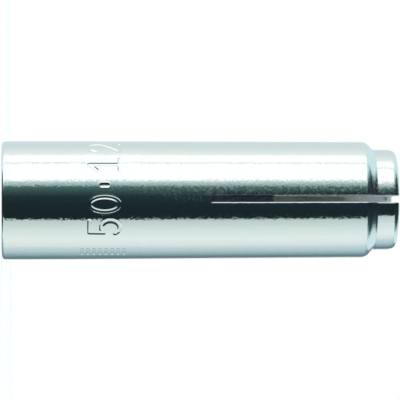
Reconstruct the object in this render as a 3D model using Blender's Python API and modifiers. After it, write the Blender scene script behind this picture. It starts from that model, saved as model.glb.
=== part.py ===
"""Drop-in anchor: an internally threaded steel sleeve that is set with a hammer.

The sleeve is one turned piece. It stands on its mouth, and +Z runs along its axis to
the slotted tip. The threaded socket at the mouth is left plain here, at the thread's
minor diameter. Further in, the bore narrows in a long taper towards the tip, and a
cone-nosed steel plug lies loose in front of that taper. Driving the plug towards the
tip seats its cone in the taper, and harder blows then spread the four legs.

All lengths are in metres.
"""

import math

import bmesh
import bpy
from mathutils import Matrix

# Sleeve, outside
SLEEVE_LENGTH = 0.0500
BODY_WALL = 0.0024
DRAW_IN_START = 0.0090
DRAW_IN = 0.00016
MOUTH_EDGE_RADIUS = 0.00045
SHOULDER_ROUNDING = 0.0020
NECK_FILLET = 0.00094
NOSE_STEP = 0.0010
NOSE_LENGTH = 0.00245
NOSE_CROWN_RADIUS = 0.0043
NOSE_CROWN_TURN = math.radians(10.4)
NOSE_EDGE_RADIUS = 0.00076

# Sleeve, inside
BORE_DIAMETER = 0.0102
MOUTH_BEVEL = 0.0009
TAPER_LENGTH = 0.0166
TIP_BORE_DIAMETER = 0.0063
TIP_BORE_LENGTH = 0.0049
TIP_DISH_RADIUS = 0.0046
TIP_DISH_DEPTH = 0.0005

# Saw cuts that part the tip into four legs
SLOT_WIDTH = 0.00086
SLOT_LENGTH = 0.0237
FIRST_CUT_OFF_CENTRE = 0.00026
SECOND_CUT_OFF_CENTRE = 0.0

# Expander plug
PLUG_LENGTH = 0.0140
PLUG_CONE_LENGTH = 0.0088
PLUG_CLEARANCE = 0.0003
PLUG_SEAT_GAP = 0.00005
PLUG_TRAVEL = 0.0050
PLUG_BACK_BEVEL = 0.0004
PLUG_FRONT_BEVEL = 0.0003

# An edge rounding takes no more than this share of the wall that it is on
EDGE_SHARE_OF_WALL = 0.35

ROUND_STEPS = 96
ARC_STEPS = 6
MERGE_DISTANCE = 0.00001
CUT_OVERRUN = 0.001

ZINC_PLATE = ((0.72, 0.75, 0.76, 1.0), 0.27)
PLUG_STEEL = ((0.58, 0.60, 0.62, 1.0), 0.33)


def empty_the_scene():
    for thing in list(bpy.data.objects):
        bpy.data.objects.remove(thing, do_unlink=True)


def new_collection(name):
    collection = bpy.data.collections.new(name)
    bpy.context.scene.collection.children.link(collection)
    return collection


def metal(name, colour, roughness):
    material = bpy.data.materials.new(name)
    material.use_nodes = True
    shader = material.node_tree.nodes["Principled BSDF"]
    shader.inputs["Base Color"].default_value = colour
    shader.inputs["Roughness"].default_value = roughness
    shader.inputs["Metallic"].default_value = 1.0
    return material


def arc(radius_at, height_at, size, from_angle, to_angle):
    """Points (radius, height) round a centre, both ends included. 0 points outwards, 90 up."""
    angles = [from_angle + (to_angle - from_angle) * i / ARC_STEPS for i in range(ARC_STEPS + 1)]
    return [(radius_at + size * math.cos(a), height_at + size * math.sin(a)) for a in angles]


def turned(name, profile, collection):
    """Turn a profile of (radius, height) points, listed down the outside, about Z."""
    mesh = bpy.data.meshes.new(name)
    bm = bmesh.new()
    points = [bm.verts.new((radius, 0.0, height)) for radius, height in profile]
    closed = min(radius for radius, _ in profile) > 0.0
    for first, second in zip(points, points[1:]):
        bm.edges.new((first, second))
    if closed:
        bm.edges.new((points[-1], points[0]))
    bm.to_mesh(mesh)
    bm.free()
    piece = bpy.data.objects.new(name, mesh)
    collection.objects.link(piece)
    turn = piece.modifiers.new("Turn", "SCREW")
    turn.axis = "Z"
    turn.angle = math.tau
    turn.steps = ROUND_STEPS
    turn.render_steps = ROUND_STEPS
    turn.use_merge_vertices = True
    turn.merge_threshold = MERGE_DISTANCE
    turn.use_smooth_shade = True
    return piece


def body_radius():
    """Outer radius at the mouth: 7.5 mm, for a 15 mm hole."""
    return BORE_DIAMETER / 2 + BODY_WALL


def body_end_radius():
    """Outer radius where the drawn-in body ends and the shoulder begins."""
    return body_radius() - DRAW_IN


def taper_start():
    return SLEEVE_LENGTH - TIP_BORE_LENGTH - TAPER_LENGTH


def taper_slope():
    """Radius lost for each unit of length along the taper."""
    return (BORE_DIAMETER - TIP_BORE_DIAMETER) / 2 / TAPER_LENGTH


def shoulder_points():
    """The rounded shoulder and the hollow neck below the nose, two arcs that meet tangent."""
    nose_radius = body_end_radius() - NOSE_STEP
    turn = math.acos(1 - NOSE_STEP / (SHOULDER_ROUNDING + NECK_FILLET))
    neck_top = SLEEVE_LENGTH - NOSE_LENGTH
    shoulder_bottom = neck_top - (SHOULDER_ROUNDING + NECK_FILLET) * math.sin(turn)
    neck = arc(nose_radius + NECK_FILLET, neck_top, NECK_FILLET, math.pi, math.pi + turn)
    shoulder = arc(
        body_end_radius() - SHOULDER_ROUNDING, shoulder_bottom, SHOULDER_ROUNDING, turn, 0.0
    )
    return neck + shoulder[1:]


def nose_points():
    """The nose's end: a tight rounded edge, and below it a gentle crown."""
    nose = body_end_radius() - NOSE_STEP
    turn = NOSE_CROWN_TURN
    edge = min(NOSE_EDGE_RADIUS, EDGE_SHARE_OF_WALL * (nose - TIP_BORE_DIAMETER / 2))
    edge_at = nose - NOSE_CROWN_RADIUS + (NOSE_CROWN_RADIUS - edge) * math.cos(turn)
    crown_at = SLEEVE_LENGTH - edge - (NOSE_CROWN_RADIUS - edge) * math.sin(turn)
    end = arc(edge_at, SLEEVE_LENGTH - edge, edge, math.pi / 2, turn)
    crown = arc(nose - NOSE_CROWN_RADIUS, crown_at, NOSE_CROWN_RADIUS, turn, 0.0)
    return end + crown[1:]


def sleeve_profile():
    body = body_radius()
    bore = BORE_DIAMETER / 2
    tip_bore = TIP_BORE_DIAMETER / 2
    mouth_edge = min(MOUTH_EDGE_RADIUS, EDGE_SHARE_OF_WALL * BODY_WALL)
    mouth_bevel = min(MOUTH_BEVEL, EDGE_SHARE_OF_WALL * BODY_WALL + mouth_edge)
    outside = nose_points() + shoulder_points()
    outside.append((body, DRAW_IN_START))
    outside += arc(body - mouth_edge, mouth_edge, mouth_edge, 0.0, -math.pi / 2)
    inside = [
        (bore + mouth_bevel, 0.0),
        (bore, mouth_bevel),
        (bore, taper_start()),
        (tip_bore, SLEEVE_LENGTH - TIP_BORE_LENGTH),
        (tip_bore, SLEEVE_LENGTH - TIP_DISH_DEPTH),
        (TIP_DISH_RADIUS, SLEEVE_LENGTH),
    ]
    return outside + inside


def slot_cutter(name, size_x, size_y, offset, collection):
    """A slab that saws one pair of opposite slots, open at the tip."""
    height = SLOT_LENGTH + CUT_OVERRUN
    mesh = bpy.data.meshes.new(name)
    bm = bmesh.new()
    bmesh.ops.create_cube(bm, size=1.0, matrix=Matrix.Diagonal((size_x, size_y, height, 1.0)))
    bm.to_mesh(mesh)
    bm.free()
    cutter = bpy.data.objects.new(name, mesh)
    cutter.location = (offset[0], offset[1], SLEEVE_LENGTH - SLOT_LENGTH + height / 2)
    cutter.hide_render = True
    cutter.display_type = "WIRE"
    collection.objects.link(cutter)
    return cutter


def saw(piece, cutter):
    cut = piece.modifiers.new(cutter.name, "BOOLEAN")
    cut.operation = "DIFFERENCE"
    cut.solver = "EXACT"
    cut.object = cutter


def anchor_sleeve(parts, cutters):
    sleeve = turned("anchor_sleeve", sleeve_profile(), parts)
    across = 2 * (body_radius() + CUT_OVERRUN)
    first = slot_cutter(
        "first_saw_cut", SLOT_WIDTH, across, (FIRST_CUT_OFF_CENTRE, 0.0), cutters
    )
    second = slot_cutter(
        "second_saw_cut", across, SLOT_WIDTH, (0.0, SECOND_CUT_OFF_CENTRE), cutters
    )
    saw(sleeve, first)
    saw(sleeve, second)
    sleeve.data.materials.append(metal("zinc_plate", *ZINC_PLATE))
    return sleeve


def plug_radius():
    return BORE_DIAMETER / 2 - PLUG_CLEARANCE


def plug_back_height():
    """Height of the plug's back face, from where its cone would seat in the taper."""
    seat_drop = BORE_DIAMETER / 2 - plug_radius() - PLUG_SEAT_GAP
    seated_cone = taper_start() + seat_drop / taper_slope()
    return seated_cone - PLUG_TRAVEL - (PLUG_LENGTH - PLUG_CONE_LENGTH)


def plug_profile():
    """The plug from its back face at height 0, with its cone at the taper's own slope."""
    radius = plug_radius()
    front = radius - PLUG_CONE_LENGTH * taper_slope()
    return [
        (0.0, PLUG_LENGTH),
        (front - PLUG_FRONT_BEVEL, PLUG_LENGTH),
        (front, PLUG_LENGTH - PLUG_FRONT_BEVEL),
        (radius, PLUG_LENGTH - PLUG_CONE_LENGTH),
        (radius, PLUG_BACK_BEVEL),
        (radius - PLUG_BACK_BEVEL, 0.0),
        (0.0, 0.0),
    ]


def expander_plug(parts):
    plug = turned("expander_plug", plug_profile(), parts)
    plug.location = (0.0, 0.0, plug_back_height())
    plug.data.materials.append(metal("plug_steel", *PLUG_STEEL))
    return plug


def build():
    empty_the_scene()
    parts = new_collection("drop_in_anchor")
    cutters = new_collection("saw_cutters")
    axis = bpy.data.objects.new("anchor_axis", None)
    parts.objects.link(axis)
    for piece in (anchor_sleeve(parts, cutters), expander_plug(parts)):
        piece.parent = axis


build()
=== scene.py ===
"""Looks of a drop-in anchor: plated steel sleeve, expander plug, studio and camera.

The anchor stands on its mouth with +Z towards the slotted tip. The camera looks square
to that axis and is rolled, so that the tip points to the right of the picture.
"""

import math

import bmesh
import bpy
from mathutils import Matrix, Vector, noise


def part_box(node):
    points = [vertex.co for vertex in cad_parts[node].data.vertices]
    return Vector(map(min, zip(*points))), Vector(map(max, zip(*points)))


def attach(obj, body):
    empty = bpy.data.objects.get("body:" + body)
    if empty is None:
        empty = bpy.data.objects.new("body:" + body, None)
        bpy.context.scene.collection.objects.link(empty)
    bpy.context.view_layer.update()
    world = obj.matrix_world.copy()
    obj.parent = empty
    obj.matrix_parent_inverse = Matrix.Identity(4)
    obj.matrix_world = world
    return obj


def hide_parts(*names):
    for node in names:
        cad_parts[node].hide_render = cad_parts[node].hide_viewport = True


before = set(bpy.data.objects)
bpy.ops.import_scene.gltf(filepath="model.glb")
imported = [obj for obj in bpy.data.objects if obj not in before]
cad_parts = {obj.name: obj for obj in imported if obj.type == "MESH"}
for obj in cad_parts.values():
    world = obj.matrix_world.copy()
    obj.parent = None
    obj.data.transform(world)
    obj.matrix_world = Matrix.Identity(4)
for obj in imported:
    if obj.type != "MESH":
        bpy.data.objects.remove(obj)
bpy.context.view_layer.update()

MM = 0.001

# Outside of the sleeve
SLEEVE_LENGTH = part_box("anchor_sleeve")[1].z
BODY_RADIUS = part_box("anchor_sleeve")[1].x
MOUTH_EDGE = 0.45 * MM
DRAW_IN_START = 9.0 * MM
DRAW_IN = 0.16 * MM
SHOULDER_ROUNDING = 1.3 * MM
NECK_FILLET = 0.6 * MM
NECK_SLANT = math.radians(45.0)
NOSE_STEP = 1.0 * MM
NOSE_LENGTH = 2.62 * MM
NOSE_CROWN = 4.3 * MM
NOSE_CROWN_TURN = math.radians(10.4)
NOSE_EDGE = 0.76 * MM
BODY_END_RADIUS = BODY_RADIUS - DRAW_IN
NOSE_RADIUS = BODY_END_RADIUS - NOSE_STEP
NOSE_END_RADIUS = NOSE_RADIUS - NOSE_CROWN + (NOSE_CROWN - NOSE_EDGE) * math.cos(NOSE_CROWN_TURN)

# Inside of the sleeve
BORE_RADIUS = 5.1 * MM
MOUTH_BEVEL = 0.9 * MM
TIP_BORE_RADIUS = 3.15 * MM
TIP_BORE_LENGTH = 4.9 * MM
TIP_BORE_EDGE = 0.25 * MM
TIP_DISH_RADIUS = 4.6 * MM
TIP_DISH_DEPTH = 0.8 * MM
TAPER_LENGTH = 16.6 * MM
THREAD_PITCH = 1.75 * MM
THREAD_DEPTH = 0.9 * MM
THREAD_LENGTH = 19.2 * MM
THREAD_RUN_OUT = 1.6 * MM
# The groove starts and reaches its full depth at these shares of the half pitch
GROOVE_FROM = 0.25
GROOVE_FULL = 0.875

# Saw cuts: angle of each slot about Z, and how far its middle lies to the left of the axis
SLOT_HALF_WIDTH = 0.43 * MM
SLOT_LENGTH = 23.7 * MM
FIRST_CUT_OFF_CENTRE = 0.26 * MM
FAR_SLOT_SHIFT = 0.14 * MM
SLOTS = (
    (-math.pi / 2, FIRST_CUT_OFF_CENTRE),
    (0.0, 0.0),
    (math.pi / 2, -FIRST_CUT_OFF_CENTRE - FAR_SLOT_SHIFT),
    (math.pi, 0.0),
)
SLOT_FLOOR = SLEEVE_LENGTH - SLOT_LENGTH
SLOT_EDGE = 0.08 * MM
WORN_SLOT_EDGE = 0.20 * MM
CRISP_SLOT_EDGE = 0.012 * MM
BURR = 0.10 * MM
BURR_FROM = 0.15
SLOT_EDGE_WANDER = 0.30
SLOT_EDGE_STEPS = 5

# Mesh density of the sleeve
LEG_COLUMNS = 20
GAP_COLUMNS = 4
BODY_ROW = 1.4 * MM
LEG_ROW = 0.35 * MM
MARK_ROW = 0.5 * MM
BORE_ROW = 0.6 * MM
MOUTH_FACE_ROW = 0.35 * MM
TIP_FACE_ROW = 0.5 * MM
DISH_ROW = 0.3 * MM
THREAD_ROW = THREAD_PITCH / 18
SHARP_FROM = math.radians(38)

# Camera, from the perspective of the photograph
CAMERA_DISTANCE = 475 * MM
CAMERA_HEIGHT = 2.3 * MM
CAMERA_AIM_HEIGHT = 25.155 * MM
CAMERA_LENS = 337.3
CAMERA_SENSOR = 36.0
CAMERA_TURN = math.radians(3.6)
CAMERA_LEAN = math.radians(0.115)

TOWARDS_CAMERA = Vector((math.sin(CAMERA_TURN), -math.cos(CAMERA_TURN), 0.0))
PICTURE_UP = Vector((-math.cos(CAMERA_TURN), -math.sin(CAMERA_TURN), 0.0))


def around(degrees):
    """Direction across the axis: 0 towards the camera, 90 to the top of the picture."""
    angle = math.radians(degrees)
    return TOWARDS_CAMERA * math.cos(angle) + PICTURE_UP * math.sin(angle)


def add_node(tree, kind, inputs=None, **settings):
    """A node with its settings, and with values or linked sockets on its inputs."""
    made = tree.nodes.new(kind)
    for name, value in settings.items():
        setattr(made, name, value)
    for key, value in (inputs or {}).items():
        if isinstance(value, bpy.types.NodeSocket):
            tree.links.new(value, made.inputs[key])
        else:
            made.inputs[key].default_value = value
    return made


def calculate(tree, operation, *values, kind="ShaderNodeMath"):
    """One Math or Vector Math node, and its first output."""
    made = add_node(tree, kind, dict(enumerate(values)), operation=operation)
    return made.outputs[0]


def ramp(tree, factor, stops):
    """A colour ramp from (position, colour) stops."""
    made = add_node(tree, "ShaderNodeValToRGB", {0: factor})
    elements = made.color_ramp.elements
    while len(elements) < len(stops):
        elements.new(1.0)
    for element, (position, colour) in zip(elements, stops):
        element.position = position
        element.color = (*colour, 1.0)
    return made.outputs["Color"]


def soft_step(tree, value, start, end):
    """Rises smoothly from 0 at start to 1 at end."""
    return add_node(
        tree,
        "ShaderNodeMapRange",
        {"Value": value, "From Min": start, "From Max": end},
        interpolation_type="SMOOTHSTEP",
    ).outputs[0]


def mix_colours(tree, factor, first, second):
    mixed = add_node(tree, "ShaderNodeMix", data_type="RGBA")
    for number, value in ((0, factor), (6, first), (7, second)):
        if isinstance(value, bpy.types.NodeSocket):
            tree.links.new(value, mixed.inputs[number])
        else:
            mixed.inputs[number].default_value = value
    return mixed.outputs[2]


def grey(value):
    return (value, value, value)


def distance_from_axis(tree, place):
    parts = add_node(tree, "ShaderNodeSeparateXYZ", {0: place}).outputs
    across = calculate(tree, "MULTIPLY", parts["X"], parts["X"])
    return calculate(tree, "SQRT", calculate(tree, "MULTIPLY_ADD", parts["Y"], parts["Y"], across))


# Materials

# Finish of the plate: crystals that lean a little, some of them dull, over a fine grain
PLATE_ROUGHNESS = 0.055
SPECK_ROUGHNESS = 0.20
SPECK_CHANCE = (0.25, 1.0)
CRYSTALS_PER_MM = 4.2
CRYSTAL_LEAN = 0.021
GRAIN_PER_MM = (4.0, 4.0, 5.0)
GRAIN_HEIGHT = 0.006 * MM

# Dull crystals by place: fewer towards the mouth, and more in a worn band above the slot
WEAR_HEIGHTS = (8 * MM, 27 * MM)
LEAST_WEAR = 0.35
WEAR_ALL_ROUND = 0.4
WORN_BAND_LOW = (-1.2 * MM, 0.4 * MM)
WORN_BAND_HIGH = (2.7 * MM, 1.9 * MM)

# The bore is duller, and changes over between two radii
INSIDE_RADII = (6.0 * MM, 5.6 * MM)
BORE_ROUGHNESS = 0.30

# Painted reflection: bands of matt white instead of metal in the narrow end of the bore, standing
# in for the light the bore reflects: in front of the plug, and again from the second height to the
# third. The taper between them is cut bright.
PAINTED_REFLECTION_COLOUR = (0.93, 0.94, 0.94, 1.0)
PAINTED_REFLECTION_RADII = (4.6 * MM, 4.35 * MM)
PAINTED_REFLECTION_UNTIL = 37.6 * MM
PAINTED_REFLECTION_AGAIN = 43.7 * MM
PAINTED_REFLECTION_END = 48.7 * MM
PAINTED_REFLECTION_FADE = 0.5 * MM


def start_material(name):
    material = bpy.data.materials.new(name)
    material.use_nodes = True
    tree = material.node_tree
    place = add_node(tree, "ShaderNodeTexCoord").outputs["Object"]
    return material, tree, tree.nodes["Principled BSDF"], place


def scaled_place(tree, place, per_mm):
    """Object coordinates as so many pattern cells to the millimetre along each axis."""
    scale = [cells / MM for cells in per_mm]
    return add_node(tree, "ShaderNodeMapping", {"Vector": place, "Scale": scale}).outputs[0]


def noise_value(tree, place, per_mm, detail=2.0):
    vector = scaled_place(tree, place, per_mm)
    texture = add_node(
        tree, "ShaderNodeTexNoise", {"Vector": vector, "Scale": 1.0, "Detail": detail}
    )
    return texture.outputs["Fac"]


def faint_tints(tree, place):
    """Clouds of the plate's faint blue, green and yellow tints."""
    clouds = noise_value(tree, place, (0.11, 0.11, 0.09), detail=3.0)
    return ramp(
        tree,
        clouds,
        (
            (0.32, (0.865, 0.89, 0.915)),
            (0.45, (0.885, 0.90, 0.90)),
            (0.56, (0.87, 0.905, 0.885)),
            (0.68, (0.905, 0.895, 0.875)),
        ),
    )


def painted_reflection_bands(tree, radius, lengthwise):
    """1 where the narrow end of the bore is painted matt white as reflected light, 0 elsewhere."""
    heights = (
        (PAINTED_REFLECTION_UNTIL, grey(1.0)),
        (PAINTED_REFLECTION_UNTIL + PAINTED_REFLECTION_FADE, grey(0.0)),
        (PAINTED_REFLECTION_AGAIN, grey(0.0)),
        (PAINTED_REFLECTION_AGAIN + PAINTED_REFLECTION_FADE, grey(1.0)),
        (PAINTED_REFLECTION_END, grey(1.0)),
        (PAINTED_REFLECTION_END + PAINTED_REFLECTION_FADE, grey(0.0)),
    )
    bands = ramp(
        tree,
        calculate(tree, "DIVIDE", lengthwise, SLEEVE_LENGTH),
        [(height / SLEEVE_LENGTH, shade) for height, shade in heights],
    )
    return calculate(tree, "MULTIPLY", soft_step(tree, radius, *PAINTED_REFLECTION_RADII), bands)


def wear(tree, place, lengthwise):
    """How likely a crystal is dull."""
    low, high = WEAR_HEIGHTS
    towards_tip = add_node(
        tree,
        "ShaderNodeMapRange",
        {"Value": lengthwise, "From Min": low, "From Max": high, "To Min": LEAST_WEAR},
    ).outputs[0]
    upward = add_node(
        tree, "ShaderNodeVectorMath", {0: place, 1: PICTURE_UP}, operation="DOT_PRODUCT"
    ).outputs["Value"]
    worn_band = calculate(
        tree,
        "MULTIPLY",
        soft_step(tree, upward, *WORN_BAND_LOW),
        soft_step(tree, upward, *WORN_BAND_HIGH),
    )
    all_round = calculate(tree, "ADD", worn_band, WEAR_ALL_ROUND)
    return calculate(tree, "MULTIPLY", towards_tip, all_round)


def leaning_normal(tree, crystals):
    """The surface's normal, turned a little for each crystal."""
    lean = calculate(tree, "SUBTRACT", crystals, grey(0.5), kind="ShaderNodeVectorMath")
    lean = add_node(
        tree, "ShaderNodeVectorMath", {0: lean, "Scale": CRYSTAL_LEAN}, operation="SCALE"
    ).outputs[0]
    facing = add_node(tree, "ShaderNodeNewGeometry").outputs["Normal"]
    facing = calculate(tree, "ADD", facing, lean, kind="ShaderNodeVectorMath")
    return calculate(tree, "NORMALIZE", facing, kind="ShaderNodeVectorMath")


def zinc_plate():
    """Bright zinc over turned steel: small crystals, some of them dull, and faint tints."""
    material, tree, shader, place = start_material("bright_zinc_plate")
    lengthwise = add_node(tree, "ShaderNodeSeparateXYZ", {0: place}).outputs["Z"]
    radius = distance_from_axis(tree, place)
    # Painted reflection: the narrow end of the bore turns matt white, not metal, in bands where it
    # should look lit
    painted_reflection = painted_reflection_bands(tree, radius, lengthwise)
    colour = mix_colours(tree, painted_reflection, faint_tints(tree, place), PAINTED_REFLECTION_COLOUR)
    tree.links.new(colour, shader.inputs["Base Color"])
    tree.links.new(calculate(tree, "SUBTRACT", 1.0, painted_reflection), shader.inputs["Metallic"])
    crystals = add_node(
        tree,
        "ShaderNodeTexVoronoi",
        {"Vector": scaled_place(tree, place, (CRYSTALS_PER_MM,) * 3), "Scale": 1.0},
    ).outputs["Color"]
    chance = add_node(tree, "ShaderNodeSeparateXYZ", {0: crystals}).outputs["X"]
    specks = soft_step(tree, chance, *SPECK_CHANCE)
    dull = calculate(tree, "MULTIPLY", specks, wear(tree, place, lengthwise))
    rough = calculate(tree, "MULTIPLY_ADD", dull, SPECK_ROUGHNESS, PLATE_ROUGHNESS)
    inside = soft_step(tree, radius, *INSIDE_RADII)
    rough = calculate(tree, "MULTIPLY_ADD", inside, BORE_ROUGHNESS, rough)
    tree.links.new(rough, shader.inputs["Roughness"])
    grain = noise_value(tree, place, GRAIN_PER_MM, detail=0.0)
    facing = leaning_normal(tree, crystals)
    bump = add_node(
        tree,
        "ShaderNodeBump",
        {"Height": grain, "Strength": 1.0, "Distance": GRAIN_HEIGHT, "Normal": facing},
    )
    tree.links.new(bump.outputs[0], shader.inputs["Normal"])
    return material


RINGS_PER_MM = (9.0, 0.0, 9.0)
RINGS_SHARE = 1.5
TURNED_GRAIN_PER_MM = (4.0, 4.0, 4.0)
TURNED_HEIGHT = 0.004 * MM


def plug_steel():
    """Turned steel slug, thinly plated, with fine rings round its axis."""
    material, tree, shader, place = start_material("turned_plug_steel")
    lengthwise = add_node(tree, "ShaderNodeSeparateXYZ", {0: place}).outputs["Z"]
    rings_at = add_node(
        tree, "ShaderNodeCombineXYZ", {"X": distance_from_axis(tree, place), "Z": lengthwise}
    ).outputs[0]
    rings = noise_value(tree, rings_at, RINGS_PER_MM)
    grain = noise_value(tree, place, TURNED_GRAIN_PER_MM, detail=3.0)
    colour = ramp(tree, grain, ((0.3, (0.50, 0.53, 0.56)), (0.7, (0.64, 0.67, 0.69))))
    tree.links.new(colour, shader.inputs["Base Color"])
    shader.inputs["Metallic"].default_value = 1.0
    rough = add_node(
        tree, "ShaderNodeMapRange", {"Value": grain, "To Min": 0.22, "To Max": 0.36}
    )
    tree.links.new(rough.outputs[0], shader.inputs["Roughness"])
    height = calculate(tree, "MULTIPLY_ADD", rings, RINGS_SHARE, grain)
    bump = add_node(tree, "ShaderNodeBump", {"Height": height, "Distance": TURNED_HEIGHT})
    tree.links.new(bump.outputs[0], shader.inputs["Normal"])
    return material


# Sleeve profile: rows of (radius, height, outward normal), from the mouth's face over
# the outside to the tip and back down the bore

def straight(start, end, step, first=False):
    """Rows along a straight run; the first point only where asked for."""
    along = Vector(end) - Vector(start)
    count = max(1, round(along.length / step))
    unit = along.normalized()
    out = (unit.y, -unit.x)
    rows = []
    for i in range(0 if first else 1, count + 1):
        point = Vector(start) + along * (i / count)
        rows.append((point.x, point.y, *out))
    return rows


def rounded(radius_at, height_at, size, from_angle, to_angle, steps, hollow=False):
    """Rows along an arc, without its first point. A hollow arc faces its own centre."""
    rows = []
    for i in range(1, steps + 1):
        angle = from_angle + (to_angle - from_angle) * i / steps
        x, y = math.cos(angle), math.sin(angle)
        side = -1.0 if hollow else 1.0
        rows.append((radius_at + size * x, height_at + size * y, side * x, side * y))
    return rows


def body_radius_at(height):
    """Outer radius of the body, which draws in a little towards the tip."""
    share = (height - DRAW_IN_START) / (SHOULDER_START - DRAW_IN_START)
    return BODY_RADIUS - DRAW_IN * max(0.0, share)


NECK_ARCS = SHOULDER_ROUNDING + NECK_FILLET
NECK_RUN = (NOSE_STEP - NECK_ARCS * (1 - math.cos(NECK_SLANT))) / math.tan(NECK_SLANT)
NECK_TOP = SLEEVE_LENGTH - NOSE_LENGTH
SHOULDER_START = NECK_TOP - NECK_ARCS * math.sin(NECK_SLANT) - NECK_RUN
TAPER_START = SLEEVE_LENGTH - TIP_BORE_LENGTH - TAPER_LENGTH

# Band of the body that carries the stamped marks, as heights and angles from the camera
MARKS_LOW = 9.2 * MM
MARKS_HIGH = 16.4 * MM
MARKS_FROM = -70.0
MARKS_TO = 80.0


def outside_rows():
    """Mouth face, body, shoulder, neck and nose."""
    quarter = math.pi / 2
    rim = SLOT_FLOOR - SLOT_EDGE
    mouth_face = (BORE_RADIUS + MOUTH_BEVEL, 0), (BODY_RADIUS - MOUTH_EDGE, 0)
    rows = straight(*mouth_face, MOUTH_FACE_ROW, first=True)
    rows += rounded(BODY_RADIUS - MOUTH_EDGE, MOUTH_EDGE, MOUTH_EDGE, -quarter, 0, 7)
    heights = [MOUTH_EDGE, MARKS_LOW, MARKS_HIGH, rim, SLOT_FLOOR + LEG_ROW, SHOULDER_START]
    steps = [BODY_ROW, MARK_ROW, BODY_ROW, 1.0, LEG_ROW]
    for low, high, step in zip(heights, heights[1:], steps):
        rows += straight((body_radius_at(low), low), (body_radius_at(high), high), step)
    rows += rounded(
        BODY_END_RADIUS - SHOULDER_ROUNDING, SHOULDER_START, SHOULDER_ROUNDING, 0, NECK_SLANT, 10
    )
    fillet_foot = (
        NOSE_RADIUS + NECK_FILLET * (1 - math.cos(NECK_SLANT)),
        NECK_TOP - NECK_FILLET * math.sin(NECK_SLANT),
    )
    rows += straight(rows[-1][:2], fillet_foot, LEG_ROW)
    rows += rounded(
        NOSE_RADIUS + NECK_FILLET,
        NECK_TOP,
        NECK_FILLET,
        math.pi + NECK_SLANT,
        math.pi,
        8,
        hollow=True,
    )
    crown_at = SLEEVE_LENGTH - NOSE_EDGE - (NOSE_CROWN - NOSE_EDGE) * math.sin(NOSE_CROWN_TURN)
    rows += straight((NOSE_RADIUS, NECK_TOP), (NOSE_RADIUS, crown_at), LEG_ROW)
    rows += rounded(NOSE_RADIUS - NOSE_CROWN, crown_at, NOSE_CROWN, 0, NOSE_CROWN_TURN, 6)
    rows += rounded(
        NOSE_END_RADIUS, SLEEVE_LENGTH - NOSE_EDGE, NOSE_EDGE, NOSE_CROWN_TURN, quarter, 9
    )
    return rows


def inside_rows():
    """Tip face, dish, tip bore, taper, chamber and socket."""
    top = SLEEVE_LENGTH
    rim = SLOT_FLOOR - SLOT_EDGE
    dish = math.atan2(TIP_DISH_DEPTH, TIP_DISH_RADIUS - TIP_BORE_RADIUS)
    edge_at = TIP_BORE_RADIUS + TIP_BORE_EDGE
    edge_height = top - (TIP_DISH_RADIUS - edge_at) * math.tan(dish)
    edge_height -= TIP_BORE_EDGE / math.cos(dish)
    dish_end = (
        edge_at - TIP_BORE_EDGE * math.sin(dish),
        edge_height + TIP_BORE_EDGE * math.cos(dish),
    )
    rows = straight((NOSE_END_RADIUS, top), (TIP_DISH_RADIUS, top), TIP_FACE_ROW)
    rows += straight((TIP_DISH_RADIUS, top), dish_end, DISH_ROW)
    rows += rounded(edge_at, edge_height, TIP_BORE_EDGE, math.pi / 2 + dish, math.pi, 4)
    points = [
        (TIP_BORE_RADIUS, edge_height, BORE_ROW),
        (TIP_BORE_RADIUS, top - TIP_BORE_LENGTH, BORE_ROW),
        (BORE_RADIUS, TAPER_START, BORE_ROW),
        (BORE_RADIUS, SLOT_FLOOR + LEG_ROW, 1.0),
        (BORE_RADIUS, rim, BORE_ROW),
        (BORE_RADIUS, THREAD_LENGTH, THREAD_ROW),
        (BORE_RADIUS, MOUTH_BEVEL, THREAD_ROW),
    ]
    for (r0, z0, step), (r1, z1, _) in zip(points, points[1:]):
        rows += straight((r0, z0), (r1, z1), step)
    bevel_foot = (BORE_RADIUS + MOUTH_BEVEL, 0.0)
    return rows + straight((BORE_RADIUS, MOUTH_BEVEL), bevel_foot, THREAD_ROW)[:-1]


# Sleeve mesh: a grid of profile rows by columns, with a hole for each slot, a rounded
# rim round each hole, and flat walls between the outer and inner rims

def slot_angle(slot, side, lateral, radius):
    """Angle at which a line beside the slot, lateral from its middle, meets a radius."""
    angle, offset = SLOTS[slot]
    return angle + math.asin((offset + side * lateral) / radius)


def edge_size(slot, side, row):
    """Rounding of a slot's edge: worn on one side outside, crisp with small burrs on the other."""
    outside = max(0.0, row[2])
    wander = noise.noise(Vector((row[1] / MM * 1.7, 7.3 * slot, 3.1 * side)))
    if side > 0:
        size = WORN_SLOT_EDGE * (1.0 + SLOT_EDGE_WANDER * wander)
    else:
        size = CRISP_SLOT_EDGE + BURR * max(0.0, wander - BURR_FROM)
    return SLOT_EDGE + (size - SLOT_EDGE) * outside


def row_angles(row):
    """Angles of all columns in a row, gap and leg by turns."""
    radius = row[0]
    angles = []
    for slot in range(len(SLOTS)):
        after = (slot + 1) % len(SLOTS)
        left = slot_angle(slot, -1, SLOT_HALF_WIDTH + edge_size(slot, -1, row), radius)
        right = slot_angle(slot, 1, SLOT_HALF_WIDTH + edge_size(slot, 1, row), radius)
        end = slot_angle(after, -1, SLOT_HALF_WIDTH + edge_size(after, -1, row), radius)
        end += math.tau if end < right else 0.0
        angles += [left + (right - left) * i / GAP_COLUMNS for i in range(GAP_COLUMNS + 1)]
        angles += [right + (end - right) * i / LEG_COLUMNS for i in range(1, LEG_COLUMNS)]
    return angles


COLUMNS = len(SLOTS) * (LEG_COLUMNS + GAP_COLUMNS)


def point_at(angle, radius, height):
    return (radius * math.cos(angle), radius * math.sin(angle), height)


def in_gap(column):
    return column % (LEG_COLUMNS + GAP_COLUMNS) < GAP_COLUMNS


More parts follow.
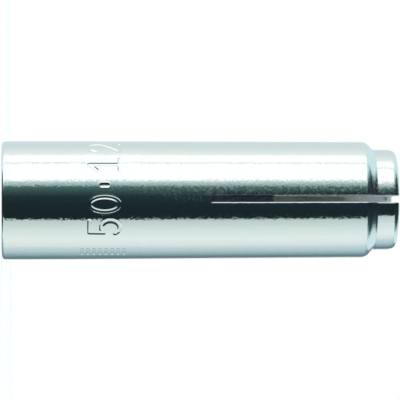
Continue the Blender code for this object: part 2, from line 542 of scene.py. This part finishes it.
def skin(rows, first_cut, last_cut, points, faces):
    """The turned surface, open at the slots. Returns vertex numbers by row and column."""
    numbers = []
    for i, row in enumerate(rows):
        cut = first_cut < i < last_cut
        line = []
        for column, angle in enumerate(row_angles(row)):
            inside_gap = column % (LEG_COLUMNS + GAP_COLUMNS) in range(1, GAP_COLUMNS)
            if cut and inside_gap:
                line.append(None)
                continue
            line.append(len(points))
            points.append(point_at(angle, row[0], row[1]))
        numbers.append(line)
    for i in range(len(rows)):
        above = (i + 1) % len(rows)
        open_here = first_cut <= i < last_cut
        for column in range(COLUMNS):
            if open_here and in_gap(column):
                continue
            beside = (column + 1) % COLUMNS
            faces.append(
                (
                    numbers[i][column],
                    numbers[i][beside],
                    numbers[above][beside],
                    numbers[above][column],
                )
            )
    return numbers


def slot_rim(slot, first_cut, last_cut, numbers):
    """The hole's edge as (vertex, row number, side, share across the gap), once round."""
    left = slot * (LEG_COLUMNS + GAP_COLUMNS)
    right = left + GAP_COLUMNS
    rim = []
    for j in range(GAP_COLUMNS + 1):
        side = -1 if j == 0 else 1 if j == GAP_COLUMNS else 0
        rim.append((numbers[first_cut][left + j], first_cut, side, j / GAP_COLUMNS))
    for i in range(first_cut + 1, last_cut):
        rim.append((numbers[i][right], i, 1, 1.0))
    for j in range(GAP_COLUMNS, -1, -1):
        side = -1 if j == 0 else 1 if j == GAP_COLUMNS else 0
        rim.append((numbers[last_cut][left + j], last_cut, side, j / GAP_COLUMNS))
    for i in range(last_cut - 1, first_cut, -1):
        rim.append((numbers[i][left], i, -1, 0.0))
    return rim


def rim_point(slot, rows, entry, cuts, turn):
    """Where a point of the rim lies once the edge has turned in by an angle."""
    _, i, side, share = entry
    radius, height, out_r, out_z = rows[i]
    left_size = edge_size(slot, -1, rows[i])
    right_size = edge_size(slot, 1, rows[i])
    size = right_size if side > 0 else left_size if side < 0 else SLOT_EDGE
    depth = size * (1 - math.cos(turn))
    left_in = left_size * (1 - math.sin(turn))
    right_in = right_size * (1 - math.sin(turn))
    new_radius = radius - depth * out_r
    new_height = height - depth * out_z
    if i in cuts:
        new_height = SLOT_FLOOR - SLOT_EDGE + SLOT_EDGE * math.sin(turn)
    low = slot_angle(slot, -1, SLOT_HALF_WIDTH + left_in, new_radius)
    high = slot_angle(slot, 1, SLOT_HALF_WIDTH + right_in, new_radius)
    return point_at(low + (high - low) * share, new_radius, new_height)


def cut_slot(slot, rows, first_cut, last_cut, numbers, points, faces):
    """Rounded rim and flat walls of one slot."""
    rim = slot_rim(slot, first_cut, last_cut, numbers)
    cuts = (first_cut, last_cut)
    outer = [entry[0] for entry in rim]
    for step in range(1, SLOT_EDGE_STEPS + 1):
        turn = math.pi / 2 * step / SLOT_EDGE_STEPS
        inner = list(range(len(points), len(points) + len(rim)))
        points += [rim_point(slot, rows, entry, cuts, turn) for entry in rim]
        for k in range(len(rim)):
            after = (k + 1) % len(rim)
            faces.append((outer[k], outer[after], inner[after], inner[k]))
        outer = inner
    side_rows = last_cut - first_cut - 1
    right_from = GAP_COLUMNS
    right_to = right_from + side_rows + 1
    left_from = right_to + GAP_COLUMNS
    faces.append(tuple(outer[right_from : right_to + 1]))
    faces.append(tuple(outer[left_from:] + outer[:1]))
    faces.append(tuple(outer[: GAP_COLUMNS + 1] + outer[right_to : left_from + 1]))


def sleeve_mesh():
    """The whole sleeve, with its slots but no thread or marks."""
    outside, inside = outside_rows(), inside_rows()
    rows = outside + inside
    rim = SLOT_FLOOR - SLOT_EDGE
    at_rim = [i for i, row in enumerate(rows) if abs(row[1] - rim) < 0.001 * MM]
    first_cut, last_cut = at_rim[0], at_rim[-1]
    points, faces = [], []
    numbers = skin(rows, first_cut, last_cut, points, faces)
    for slot in range(len(SLOTS)):
        cut_slot(slot, rows, first_cut, last_cut, numbers, points, faces)
    mesh = bpy.data.meshes.new("threaded_sleeve")
    mesh.from_pydata(points, [], faces)
    mesh.update()
    return mesh


def refine_marks_band(mesh):
    """Halve the faces under the marks three times, and put new points on the round body."""
    bm = bmesh.new()
    bm.from_mesh(mesh)
    for level in range(3):
        margin = (2 - level) * 0.5 * MARK_ROW
        chosen = set()
        for face in bm.faces:
            centre = face.calc_center_median()
            radius = math.hypot(centre.x, centre.y)
            toward = Vector((centre.x, centre.y, 0.0)).normalized()
            angle = math.degrees(math.atan2(toward @ PICTURE_UP, toward @ TOWARDS_CAMERA))
            wide = math.degrees(margin / BODY_RADIUS)
            if (
                radius > NOSE_RADIUS
                and MARKS_LOW - margin < centre.z < MARKS_HIGH + margin
                and MARKS_FROM - wide < angle < MARKS_TO + wide
            ):
                chosen.update(face.edges)
        bmesh.ops.subdivide_edges(bm, edges=list(chosen), cuts=1, use_grid_fill=True)
    for point in bm.verts:
        radius = math.hypot(point.co.x, point.co.y)
        wanted = body_radius_at(point.co.z)
        if MARKS_LOW - MM < point.co.z < MARKS_HIGH + MM and radius > NOSE_RADIUS:
            point.co.x *= wanted / radius
            point.co.y *= wanted / radius
    bm.to_mesh(mesh)
    bm.free()


# Geometry Nodes trees

def new_tree(name, sockets):
    """A Geometry Nodes tree with a geometry in and out, and the named inputs."""
    tree = bpy.data.node_groups.new(name, "GeometryNodeTree")
    tree.interface.new_socket("Geometry", in_out="INPUT", socket_type="NodeSocketGeometry")
    for title, kind in sockets:
        tree.interface.new_socket(title, in_out="INPUT", socket_type=kind)
    tree.interface.new_socket("Geometry", in_out="OUTPUT", socket_type="NodeSocketGeometry")
    given = tree.nodes.new("NodeGroupInput").outputs
    return tree, given


def end_tree(tree, geometry, material):
    real = add_node(tree, "GeometryNodeRealizeInstances", {0: geometry}).outputs[0]
    painted = add_node(
        tree, "GeometryNodeSetMaterial", {"Geometry": real, "Material": material}
    ).outputs[0]
    add_node(tree, "NodeGroupOutput", {0: painted})


def thread_tree():
    """Cuts a right-hand metric thread into a bore, by moving its points outwards."""
    tree, given = new_tree(
        "internal_thread",
        (
            ("Pitch", "NodeSocketFloat"),
            ("Depth", "NodeSocketFloat"),
            ("Minor Radius", "NodeSocketFloat"),
            ("Bore Reach", "NodeSocketFloat"),
            ("Length", "NodeSocketFloat"),
            ("Run-out", "NodeSocketFloat"),
            ("Material", "NodeSocketMaterial"),
        ),
    )
    place = tree.nodes.new("GeometryNodeInputPosition").outputs[0]
    parts = add_node(tree, "ShaderNodeSeparateXYZ", {0: place}).outputs
    x, y, z = parts[0], parts[1], parts[2]
    across = calculate(tree, "MULTIPLY", x, x)
    across = calculate(tree, "MULTIPLY_ADD", y, y, across)
    radius = calculate(tree, "SQRT", across)
    turns = calculate(tree, "DIVIDE", calculate(tree, "ARCTAN2", y, x), math.tau)
    lift = calculate(tree, "DIVIDE", z, given["Pitch"])
    share = calculate(tree, "FRACT", calculate(tree, "SUBTRACT", lift, turns))
    ridge = calculate(tree, "MULTIPLY_ADD", share, 2.0, -1.0)
    groove = calculate(tree, "SUBTRACT", 1.0, calculate(tree, "ABSOLUTE", ridge))
    groove = add_node(
        tree,
        "ShaderNodeMapRange",
        {"Value": groove, "From Min": GROOVE_FROM, "From Max": GROOVE_FULL},
    ).outputs[0]
    left = calculate(tree, "SUBTRACT", given["Length"], z)
    fade = add_node(
        tree, "ShaderNodeMapRange", {"Value": left, "From Max": given["Run-out"]}
    ).outputs[0]
    depth = calculate(tree, "MULTIPLY", calculate(tree, "MULTIPLY", groove, fade), given["Depth"])
    wanted = calculate(tree, "ADD", given["Minor Radius"], depth)
    wanted = calculate(tree, "MAXIMUM", wanted, radius)
    factor = calculate(tree, "DIVIDE", wanted, radius)
    moved = add_node(
        tree,
        "ShaderNodeCombineXYZ",
        {
            0: calculate(tree, "MULTIPLY", x, factor),
            1: calculate(tree, "MULTIPLY", y, factor),
            2: z,
        },
    ).outputs[0]
    in_bore = calculate(tree, "LESS_THAN", radius, given["Bore Reach"])
    in_reach = calculate(tree, "MULTIPLY", in_bore, calculate(tree, "GREATER_THAN", left, 0.0))
    threaded = add_node(
        tree,
        "GeometryNodeSetPosition",
        {"Geometry": given["Geometry"], "Selection": in_reach, "Position": moved},
    ).outputs[0]
    end_tree(tree, threaded, given["Material"])
    return tree


def stamp_tree():
    """Presses grooves with a soft raised lip into a surface, along the edges of strokes."""
    tree, given = new_tree(
        "stamped_marks",
        (
            ("Strokes", "NodeSocketObject"),
            ("Half Width", "NodeSocketFloat"),
            ("Flat Share", "NodeSocketFloat"),
            ("Depth", "NodeSocketFloat"),
            ("Lip Height", "NodeSocketFloat"),
            ("Lip Width", "NodeSocketFloat"),
            ("Material", "NodeSocketMaterial"),
        ),
    )
    strokes = add_node(tree, "GeometryNodeObjectInfo", {"Object": given["Strokes"]})
    near = add_node(
        tree,
        "GeometryNodeProximity",
        {0: strokes.outputs["Geometry"]},
        target_element="EDGES",
    ).outputs["Distance"]
    floor_edge = calculate(tree, "MULTIPLY", given["Half Width"], given["Flat Share"])
    sink = soft_step(tree, near, given["Half Width"], floor_edge)
    outer = calculate(tree, "ADD", given["Half Width"], given["Lip Width"])
    rise = soft_step(tree, near, floor_edge, given["Half Width"])
    fall = soft_step(tree, near, outer, given["Half Width"])
    lip = calculate(tree, "MULTIPLY", calculate(tree, "MULTIPLY", rise, fall), given["Lip Height"])
    drop = calculate(tree, "MULTIPLY", sink, given["Depth"])
    shift = calculate(tree, "SUBTRACT", lip, drop)
    normal = tree.nodes.new("GeometryNodeInputNormal").outputs[0]
    offset = add_node(
        tree, "ShaderNodeVectorMath", {0: normal, "Scale": shift}, operation="SCALE"
    ).outputs[0]
    touched = calculate(tree, "LESS_THAN", near, outer)
    stamped = add_node(
        tree,
        "GeometryNodeSetPosition",
        {"Geometry": given["Geometry"], "Selection": touched, "Offset": offset},
    ).outputs[0]
    end_tree(tree, stamped, given["Material"])
    return tree


def apply_tree(piece, tree, values):
    """Run a tree on a piece with these inputs, and keep the result as a plain mesh."""
    modifier = piece.modifiers.new(tree.name, "NODES")
    modifier.node_group = tree
    for item in tree.interface.items_tree:
        if item.item_type == "SOCKET" and item.in_out == "INPUT" and item.name in values:
            modifier[item.identifier] = values[item.name]
    bpy.context.view_layer.update()
    graph = bpy.context.evaluated_depsgraph_get()
    result = bpy.data.meshes.new_from_object(piece.evaluated_get(graph))
    piece.modifiers.clear()
    piece.data = result


# Stamped marks: plain numerals and a short row of bars, wrapped round the body

NUMERAL_HEIGHT = 3.8 * MM
NUMERAL_WIDTH = 2.1 * MM
NUMERAL_FOOT = 14.8 * MM
NUMERALS = ((-27.0, "5"), (-4.0, "0"), (14.5, "."), (36.0, "1"), (61.0, "2"))
NUMERAL_HALF_WIDTH = 0.30 * MM
NUMERAL_DEPTH = 0.09 * MM
FLOOR_SHARE = 0.35
BAR_ANGLE = -60.0
BAR_FIRST = 10.1 * MM
BAR_PITCH = 0.76 * MM
BAR_COUNT = 8
BAR_LENGTH = 1.3 * MM
BAR_HALF_WIDTH = 0.21 * MM
BAR_DEPTH = 0.06 * MM
LIP_HEIGHT_SHARE = 0.12
LIP_WIDTH_SHARE = 0.6
STROKE_STEP = 0.08


def bend(x, y, size_x, size_y, from_degrees, to_degrees, steps=10):
    """Points along part of an ellipse, in a numeral's unit square."""
    points = []
    for i in range(steps + 1):
        angle = math.radians(from_degrees + (to_degrees - from_degrees) * i / steps)
        points.append((x + size_x * math.cos(angle), y + size_y * math.sin(angle)))
    return points


def numeral_lines(numeral):
    """Centre lines of a numeral's strokes, 1 wide and 1 high."""
    if numeral == "1":
        return [[(0.12, 0.74), (0.55, 1.0), (0.55, 0.0)], [(0.15, 0.0), (0.95, 0.0)]]
    if numeral == "2":
        return [bend(0.5, 0.72, 0.45, 0.28, 165, -30) + [(0.05, 0.0), (0.98, 0.0)]]
    if numeral == "5":
        bowl = bend(0.46, 0.31, 0.46, 0.31, 125, -150)
        return [[(0.90, 1.0), (0.14, 1.0), (0.12, 0.52)] + bowl]
    if numeral == "0":
        return [bend(0.5, 0.5, 0.45, 0.5, 0, 360, 24)]
    return [[(0.5, 0.40), (0.5, 0.60)]]


def on_body(degrees, height):
    return around(degrees) * body_radius_at(height) + Vector((0.0, 0.0, height))


def numeral_point(centre_degrees, x, y):
    """A numeral reads from the bottom of the picture to its top, with its head to the mouth."""
    run = (x - 0.5) * NUMERAL_WIDTH
    degrees = centre_degrees + math.degrees(run / BODY_RADIUS)
    return on_body(degrees, NUMERAL_FOOT - y * NUMERAL_HEIGHT)


def stroke_object(name, lines):
    """Lines as bare edges, for the stamp to measure from. It is removed after the stamping."""
    points, edges = [], []
    for line in lines:
        first = len(points)
        points += line
        edges += [(first + i, first + i + 1) for i in range(len(line) - 1)]
    mesh = bpy.data.meshes.new(name)
    mesh.from_pydata(points, edges, [])
    piece = bpy.data.objects.new(name, mesh)
    bpy.context.scene.collection.objects.link(piece)
    return piece


def numeral_strokes():
    lines = []
    for degrees, numeral in NUMERALS:
        for line in numeral_lines(numeral):
            dense = []
            for (x0, y0), (x1, y1) in zip(line, line[1:]):
                pieces = max(1, round(math.hypot(x1 - x0, y1 - y0) / STROKE_STEP))
                for i in range(pieces):
                    share = i / pieces
                    dense.append((x0 + (x1 - x0) * share, y0 + (y1 - y0) * share))
            dense.append(line[-1])
            lines.append([numeral_point(degrees, x, y) for x, y in dense])
    return stroke_object("numeral_strokes", lines)


def bar_strokes():
    half = math.degrees(BAR_LENGTH / 2 / BODY_RADIUS)
    lines = []
    for i in range(BAR_COUNT):
        height = BAR_FIRST + i * BAR_PITCH
        steps = [BAR_ANGLE + half * share for share in (-1.0, -0.5, 0.0, 0.5, 1.0)]
        lines.append([on_body(degrees, height) for degrees in steps])
    return stroke_object("bar_strokes", lines)


def threaded_sleeve(material):
    """The sleeve with its thread cut and its marks stamped."""
    mesh = sleeve_mesh()
    refine_marks_band(mesh)
    sleeve = bpy.data.objects.new("threaded_sleeve", mesh)
    bpy.context.scene.collection.objects.link(sleeve)
    apply_tree(
        sleeve,
        thread_tree(),
        {
            "Pitch": THREAD_PITCH,
            "Depth": THREAD_DEPTH,
            "Minor Radius": BORE_RADIUS,
            "Bore Reach": BORE_RADIUS + MOUTH_BEVEL * 1.1,
            "Length": THREAD_LENGTH,
            "Run-out": THREAD_RUN_OUT,
            "Material": material,
        },
    )
    stamps = stamp_tree()
    for strokes, half_width, depth in (
        (numeral_strokes(), NUMERAL_HALF_WIDTH, NUMERAL_DEPTH),
        (bar_strokes(), BAR_HALF_WIDTH, BAR_DEPTH),
    ):
        apply_tree(
            sleeve,
            stamps,
            {
                "Strokes": strokes,
                "Half Width": half_width,
                "Flat Share": FLOOR_SHARE,
                "Depth": depth,
                "Lip Height": depth * LIP_HEIGHT_SHARE,
                "Lip Width": half_width * LIP_WIDTH_SHARE,
                "Material": material,
            },
        )
        bpy.data.objects.remove(strokes, do_unlink=True)
    sleeve.data.shade_smooth()
    sleeve.data.set_sharp_from_angle(angle=SHARP_FROM)
    return sleeve


# Expander plug

PLUG_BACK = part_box("expander_plug")[0].z
PLUG_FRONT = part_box("expander_plug")[1].z
PLUG_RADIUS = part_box("expander_plug")[1].x
PLUG_CONE_LENGTH = 8.8 * MM
PLUG_FRONT_RADIUS = 3.766 * MM
PLUG_BACK_BEVEL = 0.4 * MM
PLUG_FRONT_BEVEL = 0.3 * MM
PLUG_EDGE = 0.08 * MM
PLUG_COLUMNS = 96


def cone_plug(material):
    """The slug, turned from its profile with small rounded edges."""
    profile = [
        (0.0, PLUG_BACK),
        (PLUG_RADIUS - PLUG_BACK_BEVEL, PLUG_BACK),
        (PLUG_RADIUS, PLUG_BACK + PLUG_BACK_BEVEL),
        (PLUG_RADIUS, PLUG_FRONT - PLUG_CONE_LENGTH),
        (PLUG_FRONT_RADIUS, PLUG_FRONT - PLUG_FRONT_BEVEL),
        (PLUG_FRONT_RADIUS - PLUG_FRONT_BEVEL, PLUG_FRONT),
        (0.0, PLUG_FRONT),
    ]
    bm = bmesh.new()
    line = [bm.verts.new((radius, 0.0, height)) for radius, height in profile]
    for pair in zip(line, line[1:]):
        bm.edges.new(pair)
    bmesh.ops.bevel(
        bm,
        geom=line[1:-1],
        offset=PLUG_EDGE,
        segments=3,
        affect="VERTICES",
        profile=0.5,
    )
    bmesh.ops.spin(
        bm,
        geom=list(bm.verts) + list(bm.edges),
        axis=(0, 0, 1),
        cent=(0, 0, 0),
        angle=math.tau,
        steps=PLUG_COLUMNS,
        use_merge=True,
    )
    bmesh.ops.remove_doubles(bm, verts=list(bm.verts), dist=0.0005 * MM)
    bmesh.ops.recalc_face_normals(bm, faces=list(bm.faces))
    mesh = bpy.data.meshes.new("cone_plug")
    bm.to_mesh(mesh)
    bm.free()
    mesh.materials.append(material)
    mesh.shade_smooth()
    mesh.set_sharp_from_angle(angle=SHARP_FROM)
    plug = bpy.data.objects.new("cone_plug", mesh)
    bpy.context.scene.collection.objects.link(plug)
    return plug


# Studio

FLOOR_RADIUS = 600 * MM
FLOOR_DROP = 0.02 * MM
FLOOR_GLOW = 0.46
LAMP_PLACE = (-0.25, -0.25, 0.9)
LAMP_SIZE = 900 * MM
LAMP_WATTS = 3.4

# The studio shell: softboxes above, a reflector below and the dark room behind the
# camera. Brightness by angle in degrees round the anchor, 0 towards the camera and 90 to
# the top of the picture. Beyond the two outermost angles it is open to the backdrop.
SHELL_RADIUS = 5.0
SHELL_STEP = 4.0
SHELL_OPEN = (-172.0, 176.0)
WALLS = (
    (-171.0, grey(0.95)),
    (-163.0, (0.20, 0.26, 0.28)),
    (-147.0, (0.13, 0.21, 0.24)),
    (-137.0, (0.24, 0.38, 0.42)),
    (-119.0, (0.47, 0.63, 0.68)),
    (-107.0, (0.60, 0.73, 0.75)),
    (-100.0, (0.76, 0.84, 0.83)),
    (-82.0, (0.84, 0.92, 0.91)),
    (-60.0, (0.72, 0.83, 0.81)),
    (-45.0, (0.58, 0.70, 0.69)),
    (-38.6, (0.54, 0.66, 0.64)),
    (-36.9, (0.010, 0.020, 0.024)),
    (-8.0, (0.011, 0.024, 0.030)),
    (9.0, (0.016, 0.034, 0.040)),
    (19.0, (0.040, 0.090, 0.090)),
    (27.0, (0.075, 0.145, 0.145)),
    (29.5, (0.33, 0.47, 0.46)),
    (35.0, (0.48, 0.64, 0.62)),
    (38.5, (0.85, 0.92, 0.95)),
    (41.0, (1.13, 1.14, 1.14)),
    (76.7, (1.13, 1.14, 1.14)),
    (78.0, (0.42, 0.48, 0.50)),
    (79.3, (1.13, 1.14, 1.14)),
    (98.0, (1.10, 1.12, 1.12)),
    (101.0, (0.88, 0.94, 0.91)),
    (115.0, (0.75, 0.86, 0.84)),
    (131.0, (0.68, 0.78, 0.79)),
    (156.0, (0.68, 0.77, 0.81)),
    (168.0, (0.74, 0.82, 0.87)),
    (176.0, grey(1.0)),
)

# The same beyond the ends of the softboxes, by how far the way leads sideways or back
ENDS = (
    (0.00, (0.010, 0.015, 0.019)),
    (0.40, (0.020, 0.032, 0.038)),
    (0.60, (0.050, 0.085, 0.090)),
    (0.74, (0.30, 0.44, 0.45)),
    (0.86, (0.56, 0.77, 0.80)),
    (1.00, (0.66, 0.86, 0.88)),
)
ENDS_SHIFT = 0.08
ENDS_BACK = 1.3
TIP_END = (math.radians(24.0), math.radians(28.0))
MOUTH_END = (math.radians(-58.0), math.radians(-46.0))


def shell_light(tree, way):
    """Colour of the shell by direction from the anchor."""
    ahead, upward, along = (
        add_node(
            tree, "ShaderNodeVectorMath", {0: way, 1: axis}, operation="DOT_PRODUCT"
        ).outputs["Value"]
        for axis in (TOWARDS_CAMERA, PICTURE_UP, Vector((0.0, 0.0, 1.0)))
    )
    angle = calculate(tree, "ARCTAN2", upward, ahead)
    share = calculate(tree, "MULTIPLY_ADD", angle, 1 / math.tau, 0.5)
    walls = ramp(tree, share, [((turn + 180.0) / 360.0, colour) for turn, colour in WALLS])
    sideways = calculate(tree, "ABSOLUTE", calculate(tree, "ADD", upward, ENDS_SHIFT))
    back = calculate(tree, "MINIMUM", ahead, 0.0)
    ends = ramp(tree, calculate(tree, "MULTIPLY_ADD", back, -ENDS_BACK, sideways), ENDS)
    slope = calculate(tree, "ARCSINE", along)
    past_ends = calculate(
        tree, "ADD", soft_step(tree, slope, *TIP_END), soft_step(tree, slope, *MOUTH_END[::-1])
    )
    return mix_colours(tree, past_ends, walls, ends)


def shell_material():
    """Light of the studio shell, the same from wherever it is seen."""
    material = bpy.data.materials.new("studio_shell")
    material.use_nodes = True
    tree = material.node_tree
    tree.nodes.clear()
    place = add_node(tree, "ShaderNodeTexCoord").outputs["Object"]
    from_anchor = calculate(
        tree, "SUBTRACT", place, (0.0, 0.0, SLEEVE_LENGTH / 2), kind="ShaderNodeVectorMath"
    )
    way = calculate(tree, "NORMALIZE", from_anchor, kind="ShaderNodeVectorMath")
    glow = add_node(tree, "ShaderNodeEmission", {"Color": shell_light(tree, way)})
    add_node(tree, "ShaderNodeOutputMaterial", {"Surface": glow.outputs[0]})
    return material


def studio_shell():
    """A wide shell round the anchor that only its metal and the floor's light see."""
    columns = round(360 / SHELL_STEP)
    rings = round(180 / SHELL_STEP)
    points, faces = [], []
    for ring in range(rings + 1):
        slope = math.radians(-90 + ring * SHELL_STEP)
        for column in range(columns):
            level = around(-180 + column * SHELL_STEP) * math.cos(slope)
            way = level + Vector((0.0, 0.0, math.sin(slope)))
            points.append(way * SHELL_RADIUS + Vector((0.0, 0.0, SLEEVE_LENGTH / 2)))
    for ring in range(rings):
        slope = math.radians(-90 + (ring + 0.5) * SHELL_STEP)
        for column in range(columns):
            angle = -180 + (column + 0.5) * SHELL_STEP
            behind = not SHELL_OPEN[0] < angle < SHELL_OPEN[1]
            if behind and MOUTH_END[1] < slope < TIP_END[0]:
                continue
            beside = (column + 1) % columns
            low, high = ring * columns, (ring + 1) * columns
            faces.append((low + column, high + column, high + beside, low + beside))
    mesh = bpy.data.meshes.new("studio_shell")
    mesh.from_pydata(points, [], faces)
    mesh.materials.append(shell_material())
    shell = bpy.data.objects.new("studio_shell", mesh)
    shell.visible_camera = False
    bpy.context.scene.collection.objects.link(shell)


def white_backdrop():
    """The world: white to the camera, to the metal past the shell, and to the floor."""
    world = bpy.data.worlds.new("backdrop")
    bpy.context.scene.world = world
    world.use_nodes = True
    world.node_tree.nodes["Background"].inputs["Color"].default_value = (1.0, 1.0, 1.0, 1.0)


def overhead_lamp():
    """Lights the floor, so that the anchor's shadow falls on it. The metal doesn't see it."""
    data = bpy.data.lights.new("overhead", "AREA")
    data.shape = "DISK"
    data.size = LAMP_SIZE
    data.energy = LAMP_WATTS
    lamp = bpy.data.objects.new("overhead", data)
    lamp.location = LAMP_PLACE
    lamp.rotation_euler = Vector(LAMP_PLACE).to_track_quat("Z", "Y").to_euler()
    lamp.visible_glossy = False
    lamp.visible_camera = False
    bpy.context.scene.collection.objects.link(lamp)


def pale_floor():
    """A pale floor that is white to the camera where it is lit, and keeps the shadow."""
    bm = bmesh.new()
    bmesh.ops.create_circle(bm, cap_ends=True, segments=96, radius=FLOOR_RADIUS)
    mesh = bpy.data.meshes.new("floor")
    bm.to_mesh(mesh)
    bm.free()
    material = bpy.data.materials.new("pale_floor")
    material.use_nodes = True
    tree = material.node_tree
    tree.nodes.clear()
    paint = add_node(tree, "ShaderNodeBsdfDiffuse", {"Color": (0.90, 0.90, 0.90, 1.0)})
    ray = add_node(tree, "ShaderNodeLightPath").outputs
    seen = calculate(tree, "ADD", ray["Is Camera Ray"], ray["Is Glossy Ray"])
    seen = calculate(tree, "ADD", seen, ray["Is Transmission Ray"])
    glow = add_node(
        tree,
        "ShaderNodeEmission",
        {"Strength": calculate(tree, "MULTIPLY", seen, FLOOR_GLOW)},
    )
    both = add_node(tree, "ShaderNodeAddShader", {0: paint.outputs[0], 1: glow.outputs[0]})
    add_node(tree, "ShaderNodeOutputMaterial", {"Surface": both.outputs[0]})
    mesh.materials.append(material)
    ground = bpy.data.objects.new("floor", mesh)
    ground.location.z = -FLOOR_DROP
    ground.visible_glossy = False
    bpy.context.scene.collection.objects.link(ground)


def camera():
    """Square to the axis but for a small turn, from the height of the mouth, on its side."""
    data = bpy.data.cameras.new("camera")
    data.lens = CAMERA_LENS
    data.sensor_width = CAMERA_SENSOR
    eye = bpy.data.objects.new("camera", data)
    place = TOWARDS_CAMERA * CAMERA_DISTANCE + Vector((0.0, 0.0, CAMERA_HEIGHT))
    backward = (place - Vector((0.0, 0.0, CAMERA_AIM_HEIGHT))).normalized()
    right = PICTURE_UP.cross(backward).normalized()
    up = backward.cross(right)
    turn = Matrix((right, up, backward)).transposed().to_4x4()
    eye.matrix_world = Matrix.Translation(place) @ turn @ Matrix.Rotation(-CAMERA_LEAN, 4, "Z")
    data.clip_start = 0.01
    data.clip_end = 10.0
    bpy.context.scene.collection.objects.link(eye)
    bpy.context.scene.camera = eye


camera()
white_backdrop()
studio_shell()
overhead_lamp()
pale_floor()

sleeve = threaded_sleeve(zinc_plate())
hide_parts("anchor_sleeve")
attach(sleeve, "sleeve")

plug = cone_plug(plug_steel())
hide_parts("expander_plug")
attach(plug, "plug")

bpy.context.scene.view_settings.view_transform = "Standard"
